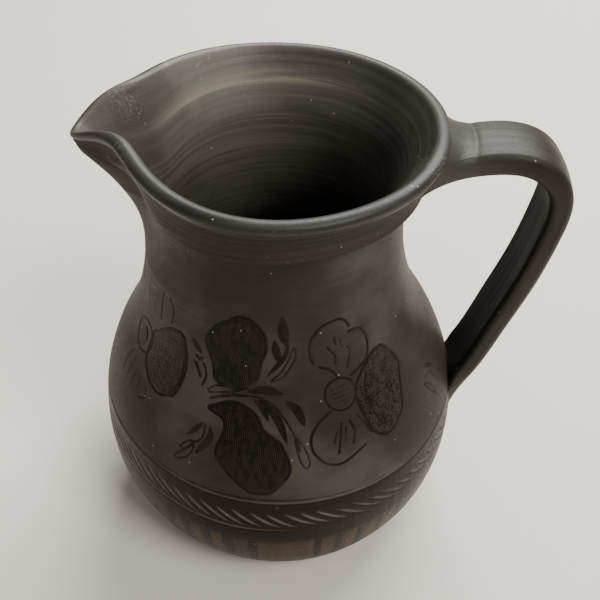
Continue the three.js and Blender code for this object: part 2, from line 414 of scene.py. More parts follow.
LEAVES = [
    ("petal", [(-2, 160.3), (5, 155), (6.7, 147), (5, 141), (3.5, 133.5), (-2, 129.8), (-8, 129),
        (-13, 130), (-13.8, 136), (-15.5, 141), (-17, 146), (-15, 150), (-11, 155)], 1.3),
    ("line", [(-15, 147), (-12.4, 152), (-7, 157), (-1, 158.4), (3.5, 154)], 0.6),
    ("petal", [(-15.3, 117.8), (-10, 121), (-5, 122.6), (0, 121), (4, 118), (6.9, 112.4), (8, 111.6),
        (14, 106.5), (18.2, 97), (17.5, 91.5), (12, 84.8), (7.2, 83.3), (2, 84.5), (-6, 91.5),
        (-11.5, 99), (-9, 108), (-8.2, 112), (-9.5, 115)], 1.3),
    ("line", [(-9, 117.5), (-3, 119.6), (1.5, 117), (4.6, 111), (6.9, 112.2)], 0.6),
    ("line", [(-16, 125), (-12, 127.8), (-5, 128), (0, 129.5)], 0.9),
    ("line", [(-15.5, 124), (-5, 127), (0, 129)], 0.9),
    ("line", [(-14.5, 121.8), (-11, 123.5), (-5, 125.2), (0, 125.8)], 1.2),
    ("leaf", [(0, 127.6), (7, 128.8), (13.8, 127)], 3.2),
    ("leaf", [(15, 124), (19.5, 120), (23, 113.2)], 2.8),
    ("line", [(-8, 125.5), (0, 125.9), (5, 125.3), (10, 122.5), (14, 118), (17, 113.5), (19.5, 109),
        (22, 103)], 0.9),
    ("loop", [(19.6, 108.6), (23, 105), (25.6, 99.5), (26.2, 96), (24.4, 95.2), (21.8, 100)], 0.8),
    ("leaf", [(4.5, 125), (11.5, 118), (16.8, 106.6)], 2.7),
    ("leaf", [(2.5, 124.7), (6, 121.2), (9, 115.7)], 2.0),
    ("leaf", [(12.5, 161), (12.8, 154.5), (14.2, 147.6)], 3.4),
    ("leaf", [(9.8, 150.7), (10.4, 146), (11.8, 140.6)], 2.7),
    ("leaf", [(15, 149), (13.3, 142.6), (7.2, 134.6)], 1.9),
    ("loop", [(16.9, 146.9), (17.6, 142.5), (15.6, 137.8), (12.6, 133.9), (8.6, 132.5), (12.2, 136.2),
        (14.8, 141)], 0.7),
    ("leaf", [(-22.8, 144.8), (-21, 142), (-18.6, 139.3)], 2.4),
    ("leaf", [(-21.8, 138.4), (-19.8, 136.8), (-17.8, 137.8)], 1.6),
    ("line", [(-22, 135), (-20.6, 132.6), (-19.5, 129.3)], 1.5),
    ("line", [(-18, 135.4), (-16.8, 130.5), (-18.5, 126)], 0.9),
    ("leaf", [(-17.2, 111), (-20, 107.4), (-24.3, 103.1)], 1.7),
    ("line", [(-16.3, 110), (-17, 105.5), (-19.5, 102), (-23, 101)], 0.9),
    ("loop", [(-22, 101.6), (-24.4, 100), (-27.4, 96.6), (-26, 96.2), (-22.4, 99.4)], 0.8),
    ("loop", [(-21, 100.5), (-23.4, 97.6), (-27.4, 94), (-30.2, 90.8), (-28.4, 90.4), (-24, 93.4),
        (-21.4, 97.6)], 0.8),
    ("leaf", [(-14, 110.5), (-14.2, 105), (-20.2, 96.4)], 2.6),
]
FLOWER = [
    ("loop", [(-9, 129.3), (-4.4, 127.6), (-2.6, 122.6), (-4.4, 117.6), (-9, 115.7), (-13.6, 117.6),
        (-15.4, 122.4), (-13.6, 127.4)], 1.0),
    ("line", [(-12.5, 125.2), (-6.5, 125.8)], 0.5),
    ("line", [(-13, 123.2), (-6, 123.7)], 0.5),
    ("line", [(-12.6, 121.4), (-7.6, 121.6)], 0.5),
    ("line", [(-11.6, 119.4), (-6.6, 119.8)], 0.5),
    ("line", [(-8.5, 130.5), (-11, 134), (-15, 136.5)], 1.1),
    ("line", [(-16.8, 138.5), (-17.5, 141.5), (-17.3, 146), (-16, 150)], 1.1),
    ("line", [(-14.9, 150.6), (-13, 153), (-9, 154.5), (-5, 154.8), (-2, 153), (-0.5, 150)], 1.2),
    ("line", [(-0.9, 147.6), (3.5, 147), (6, 143.8), (7, 140), (6.5, 135), (4.5, 132), (1, 130),
        (-3, 128.5)], 1.2),
    ("line", [(-7.5, 147.5), (-7, 144)], 0.9),
    ("line", [(-5, 145.5), (-4.5, 142)], 0.6),
    ("line", [(-2.5, 141.5), (-1.5, 139), (-4, 132)], 0.7),
    ("line", [(-10.5, 144), (-8, 139.5), (-8.5, 136)], 0.9),
    ("line", [(-15, 116.5), (-19, 114.5), (-23, 111), (-25.5, 107), (-26, 102.5), (-24.5, 98.5),
        (-21.5, 95), (-17, 93.5), (-13, 94.3), (-8, 96.5), (-4.4, 98)], 1.2),
    ("line", [(-5, 112), (-3, 108), (-0.7, 102)], 0.8),
    ("line", [(-8.5, 110.8), (-7.6, 106), (-9.3, 101)], 1.1),
    ("line", [(-12, 111), (-14, 105), (-16, 98.5)], 1.0),
    ("line", [(-14, 109), (-17, 103.5)], 0.7),
    ("line", [(-10.6, 109), (-12.4, 103)], 0.7),
    ("stippled", [(8, 133), (12.5, 133.8), (16.5, 130.5), (21.3, 122), (20.5, 117), (18.7, 110),
                  (17, 103.5), (13, 99.8), (8.5, 97.2), (4, 98.5), (0.5, 102), (-2, 111), (-3, 119.5),
                  (-1.5, 124), (4, 130)], 1.2),
    ("line", [(4.2, 127), (1.6, 120), (2.4, 111), (5, 103)], 0.9),
]
SIDE_FLOWER = [
    ("loop", [(-14.5, 134.6), (-9.4, 132.6), (-7.6, 127.5), (-9.4, 122.6), (-14.5, 120.6),
        (-19.6, 122.6), (-21.4, 127.5), (-19.6, 132.6)], 0.9),
    ("petal", [(-14.5, 131.4), (-11.8, 127.5), (-14.5, 123.4), (-17.2, 127.5)], 0.5),
    ("stippled", [(-8, 133), (-4.5, 137), (0, 141), (5, 143.5), (9, 143.5), (12.2, 137), (13.3, 127),
                  (12, 117), (9.5, 114.5), (5, 112.3), (0.5, 112.5), (-4, 114.5), (-9.3, 121)], 1.2),
    ("line", [(10.4, 140), (12, 133), (11.8, 123), (9.6, 116)], 0.8),
    ("leaf", [(-15.6, 116), (-17.4, 110), (-18.8, 103)], 2.2),
    ("leaf", [(-12.4, 112), (-13.4, 107), (-15, 101)], 1.8),
    ("leaf", [(-9.5, 112.4), (-8.8, 109), (-8.4, 104)], 1.4),
    ("line", [(-3, 110), (-2, 105.5), (-6, 103.5)], 0.8),
    ("leaf", [(-19, 117), (-22.6, 111), (-23.4, 103)], 2.2),
    ("line", [(1, 156), (3.4, 151), (2.4, 145)], 0.7),
    ("line", [(-3, 157), (-4.2, 150), (-4.4, 143)], 0.6),
    ("leaf", [(-8, 155), (-10.4, 148), (-10, 140)], 1.6),
    ("leaf", [(-16, 156), (-17.4, 148), (-15.6, 140)], 1.8),
]
SPRIG = [
    ("loop", [(-5.4, 101.6), (-3.4, 98), (-0.4, 92.4), (1.2, 91), (0.6, 94.4), (-2, 99.6)], 0.7),
    ("leaf", [(-0.6, 107.4), (2.4, 105.6), (5.6, 102.8)], 2.0),
    ("leaf", [(2.6, 100.8), (4.4, 97), (6.2, 92)], 1.6),
    ("line", [(-3.2, 104), (0.8, 103.4), (4, 101)], 0.6),
]
CURLS = [
    ("leaf", [(-2, 168), (-3.4, 163), (-1, 158)], 2.0),
    ("leaf", [(2, 166), (1.6, 161), (3.6, 157)], 1.8),
    ("line", [(-4, 156), (0, 152.4), (4, 150), (3, 145)], 0.9),
]
# (marks, angle of the motif's middle line). The hidden back repeats the front.
MOTIFS = [
    (LEAVES, -12), (FLOWER, 30), (SIDE_FLOWER, -50), (SPRIG, 61), (CURLS, -82),
    (LEAVES, 168), (FLOWER, 210), (SIDE_FLOWER, 130), (CURLS, 98),
]


# The value of each field where there is no mark. "hatch" runs across the lines of a hatching,
# "level" is the distance up the wall along the band's tilt, "inner" is 1 inside the pot and "face"
# is 1 on the collar's face.
PLAIN = dict.fromkeys(("petal", "stippled", "line", "pale", "bar"), OUTSIDE)
PLAIN |= dict.fromkeys(("hatch", "level", "inner", "face"), 0.0)
ABOVE_ALL = 200  # the level of the mouth and the inside, which carry no marks

first_marked = groups["belly_ring"][0]
last_marked = groups["neck"][1]
below = slice(0, first_marked)
marked = slice(first_marked, last_marked)
up = outer_climb[:last_marked, None] - up_at(seams[2]) + BAND_TOP + 0 * angle
around = at_run(outer_climb[:last_marked], climb, spine)[:, :1]  # radius of each outer row
fields = {name: np.full(height.shape, value) for name, value in PLAIN.items()}


def put(name, signed, window):
    fields[name][window] = np.maximum(fields[name][window], signed)


def across_from(middle, part):
    """Millimetres round the wall from an angle, on some of the outer rows."""
    return np.radians(wrapped(angle - middle)) * around[part]


def add_mark(kind, points, width, across, level, window):
    """Draws one mark into the fields, for the vertices in the window."""
    closed = kind in ("petal", "stippled", "loop")
    curve = drawn(points, closed)
    distance, share = nearest_on(across, level, curve, closed)
    if kind == "leaf":
        brush = np.sin(np.pi * np.clip(share, 0.02, 0.98)) ** 0.6
        signed = 0.6 * width * brush - distance
        put("petal", signed, window)
        fields["hatch"][window] = np.where(signed > -0.5, across + 0.5 * level, fields["hatch"][window])
    else:
        put("line", width / 2 - distance, window)
    if kind in ("petal", "stippled"):
        inside = inside_of(across, level, curve)
        put(kind, np.where(inside, distance, -distance), window)
        fan = across + 0.16 * (level - level.mean()) + 0.3 * np.sin(level / 3.1)
        fields["hatch"][window] = np.where(inside, fan, fields["hatch"][window])


def add_motif(marks, middle):
    across = across_from(middle, marked)
    level = up[marked]
    for kind, points, width in marks:
        low, high = np.min(points, axis=0) - 4, np.max(points, axis=0) + 4
        at = np.nonzero((across > low[0]) & (across < high[0]) & (level > low[1]) & (level < high[1]))
        window = (at[0] + first_marked, at[1])
        add_mark(kind, points, width, across[at], level[at], window)


def add_band():
    """The incised lines round the belly ring and the slanted strokes between them."""
    level = fields["level"][marked]
    put("pale", 0.4 - abs(level - BAND_TOP), marked)
    put("pale", 0.5 - abs(level - BAND_LOW), marked)
    second = 0.45 - abs(level - BAND_TOP - SECOND_LINE) - 0.3 * (1 - bell(wrapped(angle + 8), 26))
    put("line", second, marked)
    rng = np.random.default_rng(7)
    for step in range(STROKE_COUNT):
        start = step * 360 / STROKE_COUNT + rng.uniform(-0.5, 0.5)
        side = wrapped(start)
        fine = eased(side, 8, 16) * (1 - eased(side, 100, 120))
        for copy in range(2 if fine > 0.5 else 1):
            across = across_from(start + 2.2 * copy, marked)
            long = STROKE_LENGTH + rng.uniform(-0.8, 0.8)
            top = STROKE_TOP + rng.uniform(-0.5, 0.4) - 1.5 * copy
            line = np.array([(0, top), (long * 0.5, top - 4.6), (long, top - STROKE_FALL + 0.8 * copy)])
            at = np.nonzero((across > -3) & (across < long + 3) & (level < 75) & (level > 58))
            distance, share = nearest_on(across[at], level[at], line, False)
            thick = (0.78 - 0.4 * fine) * (np.sin(np.pi * np.clip(share, 0.03, 0.97) ** 0.7) ** 0.6)
            put("pale", thick - distance, (at[0] + first_marked, at[1]))


def add_bars():
    """Broad dark strokes down the lower bowl, wider on the spout's side and none at the front."""
    rng = np.random.default_rng(3)
    level = fields["level"][below]
    for step in range(BAR_COUNT):
        middle = wrapped(BAR_START + step * 360 / BAR_COUNT + rng.uniform(-0.7, 0.7))
        if abs(middle) < BARE_FRONT:
            continue
        half = 1.3 + 1.1 * eased(-middle, 0, 20) * (1 - eased(-middle, 120, 160)) + rng.uniform(-0.2, 0.3)
        across = abs(across_from(middle, below))
        over = np.clip(level - BAR_TOP - rng.uniform(-2, 2), 0, None)
        put("bar", half - np.hypot(across, over), below)


def add_wear():
    """Pale rings at the funnel's back, a painted highlight on the ledge's edge, the calm spout, scuffs and a
    painted glint on the lip, and dust and painted light inside.
    """
    rings = [(189.3, 2.2, 1.0), (192.5, 0.9, 0.5), (184, 1.6, 0.3)]  # (height, spread, strength)
    pale_bands = sum(strength * bell(height - at, spread) for at, spread, strength in rings)
    fields["pale_rings_and_edge_highlight"] = bell(wrapped(angle - 190), 48) * pale_bands * fields["inner"]
    # painted highlight along the ledge's outer edge, on the near side of the spout
    fields["pale_rings_and_edge_highlight"][EDGE_ROW:FACE_ROW] += 0.8 * bell(off_spout - 34, 15)
    fields["calm"] = 0.75 * bell(off_spout, 55) + 0 * height
    on_lip = eased(height, 192, 197) * (1 - fields["face"])
    fields["scuffs_and_glint"] = 0.19 * on_lip * (bell(off_spout + 14, 5) + 0.6 * bell(off_spout - 30, 9))
    # painted speckled highlight on the lip beside the handle
    fields["scuffs_and_glint"] += 0.25 * eased(height, 186, 194) * bell(wrapped(angle - 62), 7)
    # dust and painted light on the inside wall, strongest at the back and higher up
    at_back = 0.14 + 0.86 * bell(wrapped(angle - 204), 60)
    fields["dust_and_light"] = fields["inner"] * at_back * eased(height, 112, 185)


fields["level"][:last_marked] = up + BAND_TILT * np.sin(turn)
fields["level"][last_marked:] = ABOVE_ALL
fields["inner"][int(np.argmax(height[:, 0])):] = 1
fields["face"][last_marked:LIP_ROW] = 1
for marks, middle in MOTIFS:
    add_motif(marks, middle)
add_band()
add_bars()
add_wear()

relief = -GROOVE_DEPTH * eased(fields["line"], -0.35, 0.35)
relief -= PALE_DEPTH * eased(fields["pale"], -0.4, 0.5)
relief += PETAL_SWELL * eased(fields["petal"], -0.3, 0.6)
grid = grid + normals_of(grid) * relief[..., None]
normals = normals_of(grid)


# ---- materials ----

BUMP_DEPTH = 0.0003  # metres

SPECK = (0.42, 0.4, 0.37)
GROUND = (0.026, 0.022, 0.018)
GROUND_PALE = (0.066, 0.058, 0.05)
BURNISHED = (0.006, 0.0043, 0.0028)
# painted warm reflection on the burnished lower bowl
BURNISHED_WARM_REFLECTION = (0.052, 0.033, 0.0165)
PETAL = (0.006, 0.0047, 0.0034)
SCRATCH = (0.04, 0.0305, 0.0225)
LINE = (0.0075, 0.006, 0.0046)
PALE = (0.095, 0.086, 0.074)
RIM = (0.016, 0.0145, 0.013)
RIM_PALE = (0.04, 0.0375, 0.0345)
# the collar's face, in a painted brown reflection
FACE_BROWN_REFLECTION = (0.0125, 0.0082, 0.0052)
FACE_BROWN_REFLECTION_PALE = (0.032, 0.022, 0.014)
# scuffs, pale rings, and a painted highlight on the ledge's edge
SMEAR_AND_HIGHLIGHT = (0.24, 0.21, 0.17)
# dust and painted light inside
DUST_AND_LIGHT = (0.15, 0.137, 0.115)
STRAP = (0.01, 0.0078, 0.0058)
STRAP_PALE = (0.027, 0.0218, 0.0168)
# painted shade under the strap
UNDERSIDE_SHADE = (0.004, 0.0034, 0.0026)
# painted light on the upper join
JOIN_LIGHT = (0.04, 0.037, 0.032)


class Value:
    """A node's output. A sum or product with it makes the Math node that works it out."""

    def __init__(self, clay, socket):
        self.clay = clay
        self.socket = socket

    def __add__(self, other):
        return self.clay.math("ADD", self, other)

    def __sub__(self, other):
        return self.clay.math("SUBTRACT", self, other)

    def __rsub__(self, other):
        return self.clay.math("SUBTRACT", other, self)

    def __mul__(self, other):
        return self.clay.math("MULTIPLY", self, other)

    def eased(self, low, high, start=0.0, end=1.0):
        """Runs smoothly from start to end while this value runs from low to high."""
        return self.clay.value("MapRange", self, low, high, start, end, interpolation_type="SMOOTHSTEP")


class Clay:
    """A black clay material and short calls for its nodes."""

    def __init__(self, name, gloss):
        self.material = bpy.data.materials.new(name)
        self.material.use_nodes = True
        self.tree = self.material.node_tree
        self.shader = self.tree.nodes["Principled BSDF"]
        self.shader.inputs["Specular IOR Level"].default_value = gloss
        self.place = Value(self, self.node("TexCoord").outputs["Object"])

    def node(self, kind, **settings):
        made = self.tree.nodes.new("ShaderNode" + kind)
        for key, value in settings.items():
            setattr(made, key, value)
        return made

    def join(self, value, socket):
        if isinstance(value, Value):
            self.tree.links.new(value.socket, socket)
        else:
            socket.default_value = value

    def value(self, kind, *values, **settings):
        """The first output of a new node, with its inputs filled in order."""
        made = self.node(kind, **settings)
        for value, socket in zip(values, made.inputs):
            self.join(value, socket)
        return Value(self, made.outputs[0])

    def math(self, operation, *values):
        return self.value("Math", *values, operation=operation)

    def outputs_of(self, kind, vector=None, **inputs):
        """All the outputs of a new node that reads a place, with its other inputs set by name."""
        made = self.node(kind)
        self.join(vector or self.place, made.inputs["Vector"])
        for name, value in inputs.items():
            made.inputs[name].default_value = value
        return [Value(self, socket) for socket in made.outputs]

    def mix(self, share, first, second):
        made = self.node("Mix", data_type="RGBA")
        self.join(share, made.inputs[0])
        for colour, socket in ((first, made.inputs[6]), (second, made.inputs[7])):
            self.join(colour if isinstance(colour, Value) else (*colour, 1), socket)
        return Value(self, made.outputs[2])

    def field(self, name, output="Fac"):
        return Value(self, self.node("Attribute", attribute_name=name).outputs[output])

    def noise(self, scale, detail, vector=None):
        return self.outputs_of("TexNoise", vector, Scale=scale, Detail=detail, Roughness=0.55)[0]

    def streaks(self, scale, detail, vector=None):
        """Noise with its own scale along each axis."""
        return self.noise(1, detail, self.outputs_of("Mapping", vector, Scale=scale)[0])

    def round_place(self):
        """A place that changes fast round the pot and slowly up it."""
        x, y, z = self.outputs_of("SeparateXYZ")
        outward = self.value("VectorMath", self.value("CombineXYZ", x, y), operation="NORMALIZE")
        return self.value("VectorMath", outward, self.value("CombineXYZ", 0.0, 0.0, z), operation="ADD")

    def specks(self):
        """Tiny pale mineral specks, few and far between."""
        distance, colour = self.outputs_of("TexVoronoi", Scale=170)[:2]
        chosen = self.value("SeparateColor", colour)
        return distance.eased(0.07, 0.03) * chosen.eased(0.5, 0.52)

    def finish(self, colour, rough, bump):
        made = self.node("Bump")
        made.inputs["Distance"].default_value = BUMP_DEPTH
        self.join(bump, made.inputs["Height"])
        self.join(self.mix(self.specks() * 0.7, colour, SPECK), self.shader.inputs["Base Color"])
        self.join(rough, self.shader.inputs["Roughness"])
        self.join(Value(self, made.outputs[0]), self.shader.inputs["Normal"])
        return self.material


def body_clay():
    """Matt wiped clay above the band, burnished under it with stripes of painted warm brown reflection
    between the bars, and the marks on both.
    """
    clay = Clay("black_clay_body", 0.10)
    blotch = clay.noise(16, 4)
    grain = clay.noise(900, 3)
    wiping = clay.streaks((9, 9, 520), 3)
    strokes = clay.noise(9, 2, clay.round_place())
    level = clay.field("level")

    scraped = level.eased(BAND_TOP - 0.6, BAND_TOP + 0.2)
    share = blotch.eased(0.35, 0.7) + grain * 0.35 - wiping * 0.35
    ground = clay.mix(share.eased(0.0, 1.0), GROUND, GROUND_PALE)
    between_bars = 1.0 - clay.field("bar").eased(-0.7, 0.3)
    # burnished stripes painted lighter brown between the bars: a painted warm reflection
    reflection_stripes = level.eased(55, 49) * between_bars * strokes.eased(0.3, 0.6, 0.55, 1.0) + wiping * 0.15
    colour = clay.mix(scraped, clay.mix(reflection_stripes, BURNISHED, BURNISHED_WARM_REFLECTION), ground)

    comb = clay.math("SINE", (clay.field("hatch") + clay.noise(130, 2) * 1.6) * 4.0)
    broken = clay.streaks((420, 420, 90), 2).eased(0.36, 0.58)
    scratch = clay.math("ABSOLUTE", comb).eased(0.7, 1.0) * broken
    petal = clay.field("petal").eased(-0.15, 0.2)
    colour = clay.mix(petal, colour, clay.mix(scratch * 0.8, PETAL, SCRATCH))

    prick = clay.outputs_of("TexVoronoi", Scale=1150)[0].eased(0.25, 0.6)
    stippled = clay.field("stippled").eased(-0.15, 0.2)
    pricked = clay.mix(prick * broken, GROUND, PETAL)
    pricked = clay.mix(blotch.eased(0.4, 0.6) * 0.35, pricked, SCRATCH)
    colour = clay.mix(stippled, colour, pricked)

    pale = clay.field("pale").eased(-0.25, 0.35) * clay.noise(60, 3).eased(0.25, 0.6, 0.45, 1.0)
    colour = clay.mix(pale, colour, PALE)
    line = clay.field("line").eased(-0.2, 0.2) * clay.noise(150, 2).eased(0.3, 0.55, 0.55, 1.0)
    colour = clay.mix(line, colour, LINE)
    # dust and painted light on the inside wall
    dust_and_light_share = clay.field("dust_and_light") * wiping.eased(0.25, 0.65, 0.45, 1.0)
    colour = clay.mix(dust_and_light_share, colour, DUST_AND_LIGHT)

    smooth = 1.0 - scraped
    rough = grain.eased(0.3, 0.7, 0.46, 0.60)
    rough = rough - clay.math("MAXIMUM", petal, stippled) * 0.10 - smooth * 0.12
    bump = wiping * 0.45 + grain * 0.2 + strokes * smooth * 2.0
    bump = bump - scratch * petal * 0.5 - prick * stippled * 0.5
    return clay.finish(colour, rough, bump)


def rim_clay():
    """Burnished lip and funnel with wheel rings, and the rough face under the lip in a painted brown
    reflection.
    """
    clay = Clay("black_clay_rim", 0.22)
    blotch = clay.noise(20, 4)
    grain = clay.noise(800, 3)
    face = clay.field("face")
    rings = (clay.streaks((12, 12, 700), 4) - 0.5) * (1.0 - clay.field("calm")) + 0.5
    colour = clay.mix((rings * 0.55 + blotch * 0.75).eased(0.45, 0.85), RIM, RIM_PALE)
    # dust and painted light inside
    dust_and_light_share = clay.field("dust_and_light") * rings.eased(0.25, 0.65, 0.7, 1.0) * blotch.eased(0.35, 0.65, 0.55, 1.0)
    colour = clay.mix(dust_and_light_share, colour, DUST_AND_LIGHT)

    scored = clay.streaks((30, 30, 1500), 4) + blotch * 0.6
    # the face takes a painted brown reflection, with paler scored lines
    colour = clay.mix(face, colour, clay.mix(scored.eased(0.62, 1.0), FACE_BROWN_REFLECTION, FACE_BROWN_REFLECTION_PALE))
    scuffs = clay.streaks((260, 90, 420), 2).eased(0.68, 0.76) * blotch.eased(0.45, 0.65, 0.0, 0.5)
    colour = clay.mix(scuffs, colour, SMEAR_AND_HIGHLIGHT)
    # pale rings at the funnel's back and a painted highlight on the ledge's edge
    pale_bands = clay.field("pale_rings_and_edge_highlight") * clay.streaks((18, 18, 650), 3).eased(0.28, 0.6)
    colour = clay.mix(pale_bands, colour, SMEAR_AND_HIGHLIGHT)
    # scuffs, and a painted speckled highlight beside the handle
    scratches_and_glint = clay.streaks((1300, 2100, 650), 2).eased(0.5, 0.66) * clay.field("scuffs_and_glint")
    colour = clay.mix(scratches_and_glint, colour, SPECK)

    rough = (blotch + grain * 0.4).eased(0.4, 1.0, 0.36, 0.52) + face * 0.25
    return clay.finish(colour, rough, rings * 0.35 + grain * 0.2)


def handle_clay():
    """Clay streaked along the strap, with painted light on the upper join and painted shade, nearly black,
    underneath.
    """
    clay = Clay("black_clay_handle", 0.19)
    strap = clay.field("strap", "Vector")
    along, _, outward = clay.outputs_of("SeparateXYZ", strap)
    streaks = clay.streaks((16, 380, 380), 4, strap)
    broad = clay.streaks((7, 110, 110), 2, strap)
    blotch = clay.noise(26, 4)
    grain = clay.noise(800, 3)
    colour = clay.mix((streaks * 0.6 + blotch * 0.6).eased(0.42, 0.82), STRAP, STRAP_PALE)
    # painted light on the upper join and the strap's top near the rim
    colour = clay.mix(along.eased(0.052, 0.024), colour, JOIN_LIGHT)
    # painted shade on the strap's under face, which faces the pot
    under = outward.eased(-0.0030, -0.0042)
    colour = clay.mix(under * 0.85, colour, UNDERSIDE_SHADE)
    rough = (broad + grain * 0.4).eased(0.4, 1.0, 0.36, 0.54) + under * 0.35
    return clay.finish(colour, rough, streaks * 0.5 + broad * 1.4 + grain * 0.2)


body_material = body_clay()
rim_material = rim_clay()
handle_material = handle_clay()


# ---- pieces ----

def add_piece(name, node, places, faces, face_normals, values, material):
    """Makes one clay member, in metres, that stands for its CAD node."""
    mesh = bpy.data.meshes.new(name)
    mesh.from_pydata(places.reshape(-1, 3) * MM, [], faces)
    mesh.shade_smooth()
    mesh.normals_split_custom_set_from_vertices(face_normals.reshape(-1, 3))
    for key, value in values.items():
        flat = value.ndim == 1
        made = mesh.attributes.new(key, "FLOAT" if flat else "FLOAT_VECTOR", "POINT")
        made.data.foreach_set("value" if flat else "vector", value.astype(np.float32).ravel())
    mesh.materials.append(material)
    piece = bpy.data.objects.new(name, mesh)
    bpy.context.scene.collection.objects.link(piece)
    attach(piece, "root")
    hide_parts(node)


def quads(row_count, column_count, rows_wrap, columns_wrap):
    """Faces of a grid of vertices, which may close on itself either way."""
    i = np.arange(row_count if rows_wrap else row_count - 1)[:, None]
    j = np.arange(column_count if columns_wrap else column_count - 1)[None]
    below, beside = (i + 1) % row_count, (j + 1) % column_count
    corners = [i * column_count + j, i * column_count + beside,
               below * column_count + beside, below * column_count + j]
    return np.stack([c + 0 * (i + j) for c in corners], axis=-1).reshape(-1, 4).tolist()


def bar_faces(row_count, column_count):
    """Faces of a bar whose rows are rings, with a flat face at each end."""
    last = (row_count - 1) * column_count
    ends = [list(range(column_count))[::-1], list(range(last, last + column_count))]
    return quads(row_count, column_count, False, True) + ends


def wall_piece(node, row_list, column_list, material):
    """A closed piece of the grid: rows that close on themselves, with flat ends on an open arc."""
    at = np.ix_(row_list, column_list)
    count, wide = len(row_list), len(column_list)
    whole = wide == COLUMNS
    faces = quads(count, wide, True, whole)
    if not whole:
        start = np.arange(count) * wide
        faces += [start.tolist(), (start + wide - 1)[::-1].tolist()]
    values = {key: field[at].ravel() for key, field in fields.items()}
    add_piece(node + "_clay", node, grid[at], faces, normals[at], values, material)


def add_wall():
    for node in WALL_NODES:
        outer_low, outer_high, inner_high, inner_low = groups[node]
        loop = [*range(outer_low, outer_high + 1), *range(inner_high, inner_low + 1)]
        wall_piece(node, loop, range(COLUMNS), body_material)


def add_mouth():
    first, last = [
        int(round((SPOUT_SIDE + side * SPOUT_HALF_ANGLE) % 360 * PER_DEGREE)) for side in (-1, 1)
    ]
    loop = range(mouth_row, groups["mouth"][1] + 1)
    spout_columns = range(first, last + 1)
    collar_columns = [c % COLUMNS for c in range(last, first + COLUMNS + 1)]
    wall_piece("pouring_spout", loop, spout_columns, rim_material)
    wall_piece("rim_collar", loop, collar_columns, rim_material)


def add_base():
    """The pat of clay under the pot: a shallow hollow underneath and wheel rings inside."""
    top = height[-1].mean()
    edge_low, edge_high = radius[0].mean(), radius[-1].mean()
    profile = []
    for t in np.linspace(0.02, 0.97, 60):
        lift = 0.5 * (1 - eased(t, 0.78, 0.9)) + 0.06 * np.sin(40 * t)
        profile.append((edge_low * t, max(lift, 0) if t < 0.9 else 0))
    profile.append((edge_low - 0.1, 0))
    for t in np.linspace(1, 0.02, 40):
        profile.append((edge_high * t, top + 0.12 * np.sin(50 * t) * (1 - t)))
    out, rise = np.array(profile).T[..., None]
    sides = 180
    turn = np.radians(np.arange(sides) * 360 / sides)
    rings = np.stack([out * np.sin(turn), -out * np.cos(turn), rise + 0 * turn], axis=2)
    values = {key: np.full(rings[..., 0].size, value) for key, value in PLAIN.items()}
    add_piece("base_disc_clay", "base_disc", rings, bar_faces(len(profile), sides),
              normals_of(rings), values, body_material)


# ---- the handle ----

HANDLE_TURN = 6.5  # degrees the handle stands off its side, towards the front
STRAP_HALF_WIDTH = 13.2
STRAP_HALF_THICKNESS = 4.3
STRAP_CROWN = 0.9  # how far the middle of its outer face bulges
STRAP_HOLLOW = 0.4  # and how far its under face is pressed in
STRAP_CORNER = 2.9
CORNER_POINTS = 15
UPPER_SEAM = 0.16  # shares of the strap line where the joins end
LOWER_SEAM = 0.88
UPPER_ROWS = 60
LOWER_ROWS = 50
STRAP_ROWS = 190
CREASE_AT = 74  # distance from the axis of the crease across the strap
CREASE_DEPTH = 0.3
# How each join spreads onto the pot: its heights there, degrees that its sides flare out, how
# strongly it leaves the pot and arrives along the strap, and the rows of the pot it may meet.
JOINS = {
    "upper": {
        "out_height": 199.9, "under_height": 181.4, "near_height": 186, "far_height": 190.5,
        "centre_height": 189.5, "near_flare": 8, "far_flare": 4, "near_widen": 1.9, "far_widen": 1.3,
        "radius": 61, "leave": 0.85, "arrive": 0.9, "way": 1, "rows": (EDGE_ROW, LIP_ROW + 12),
    },
    "lower": {
        "out_height": 49, "under_height": 78.5, "near_height": 68, "far_height": 68,
        "centre_height": 68, "near_flare": 1.5, "far_flare": 3, "near_widen": 0.95, "far_widen": 1,
        "radius": 82, "leave": 0.55, "arrive": 0.8, "way": -1, "rows": (4, groups["shoulder"][1]),
    },
}
# Middle line of the strap in its own upright plane, as (distance from the axis, height).
STRAP_LINE = [
    (46, 186), (57, 187), (70, 189.4), (84, 191.4), (97, 188.8), (106, 178.5), (106.3, 160),
    (101.5, 135.5), (93.7, 109), (85, 82), (74, 61),
]


def strap_section():
    """Round the strap's section, as (across, outward) places and unit directions out of it."""
    a, b, c = STRAP_HALF_WIDTH, STRAP_HALF_THICKNESS, STRAP_CORNER
    corners = [(a - c, b - c, 0), (c - a, b - c, 90), (c - a, c - b, 180), (a - c, c - b, 270)]
    places = []
    for k, (x, y, start) in enumerate(corners):
        for bend in np.radians(np.linspace(start, start + 90, CORNER_POINTS)):
            places.append((x + c * np.cos(bend), y + c * np.sin(bend)))
        here = np.array(places[-1])
        side = np.array(corners[(k + 1) % 4][:2]) - (x, y)
        flat_points = 3 if k % 2 else 14
        places += [tuple(here + side * t) for t in np.linspace(0, 1, flat_points + 2)[1:-1]]
    places = np.array(places)
    full = 1 - (places[:, 0] / a) ** 2
    crown = full * eased(places[:, 1], -1, 1)
    hollow = full * eased(places[:, 1], 1, -1)
    places[:, 1] += STRAP_CROWN * crown + STRAP_HOLLOW * hollow
    along = unit(np.roll(places, -1, axis=0) - np.roll(places, 1, axis=0))
    return places, np.stack([along[:, 1], -along[:, 0]], axis=1)


strap_spine = spline(STRAP_LINE, 0.2)
strap_run = run_of(strap_spine)
section, section_out = strap_section()


